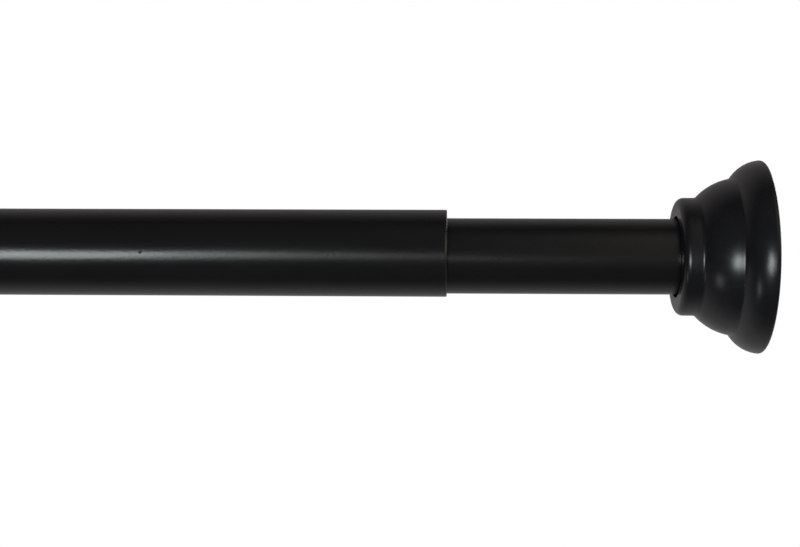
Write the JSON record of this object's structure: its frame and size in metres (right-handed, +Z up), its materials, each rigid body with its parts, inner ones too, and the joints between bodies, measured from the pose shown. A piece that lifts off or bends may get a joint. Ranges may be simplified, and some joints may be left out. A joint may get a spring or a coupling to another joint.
{
  "type": "spring tension rod",
  "caption": "Black telescoping spring tension rod with a twist lock, stepped bell-shaped end caps and rubber wall pads, held between two walls to carry a curtain.",
  "frame": {"origin": "centre of the left wall pad's face", "axes": "+X along the rod to the right wall, +Z up"},
  "size_m": [0.647, 0.056, 0.0568],
  "materials": {
    "tube_paint": "satin black paint on steel",
    "cap_plastic": "semi-gloss black ABS moulding",
    "pad_rubber": "matt black rubber",
    "plug_nylon": "black nylon moulding",
    "lock_nylon": "natural nylon moulding",
    "spindle_acetal": "white acetal moulding",
    "zinc_steel": "zinc plated steel",
    "spring_steel": "drawn spring steel wire"
  },
  "bodies": {
    "outer_tube": {"outer_tube": "tube_paint", "end_cap_left": "cap_plastic", "wall_pad_left": "pad_rubber", "tube_plug_left": "plug_nylon", "cap_screw_left": "zinc_steel", "cap_washer_left": "zinc_steel"},
    "lock_sleeve": {"lock_sleeve": "lock_nylon"},
    "lock_cone": {"lock_cone": "spindle_acetal"},
    "spindle": {"spindle": "spindle_acetal", "thrust_washer": "zinc_steel", "stop_washer": "zinc_steel", "stop_screw": "zinc_steel"},
    "inner_tube": {"inner_tube": "tube_paint", "guide_bush": "lock_nylon", "compression_spring": "spring_steel", "spring_stop": "lock_nylon", "end_cap_right": "cap_plastic", "wall_pad_right": "pad_rubber", "tube_plug_right": "plug_nylon", "cap_screw_right": "zinc_steel", "cap_washer_right": "zinc_steel"}
  },
  "joints": [
    {"name": "length_slide", "type": "slide", "parent": "outer_tube", "child": "lock_sleeve", "axis": [1, 0, 0], "range_m": [-0.037, 0.267]},
    {"name": "twist_lock", "type": "hinge", "parent": "lock_sleeve", "child": "spindle", "pos_m": [0.14, 0, -0.00075], "axis": [-1, 0, 0], "range_deg": [0, 360]},
    {"name": "cone_draw", "type": "slide", "parent": "lock_sleeve", "child": "lock_cone", "axis": [1, 0, 0], "range_m": [0, 0.003]},
    {"name": "spring_plunge", "type": "slide", "parent": "spindle", "child": "inner_tube", "axis": [1, 0, 0], "range_m": [-0.025, 0], "stiffness_N_per_m": 1980, "springref_m": 0.01, "deforming": ["compression_spring"]}
  ],
  "couplings": [
    {"joint": "cone_draw", "follows": "twist_lock", "m_per_rad": 0.000477}
  ]
}
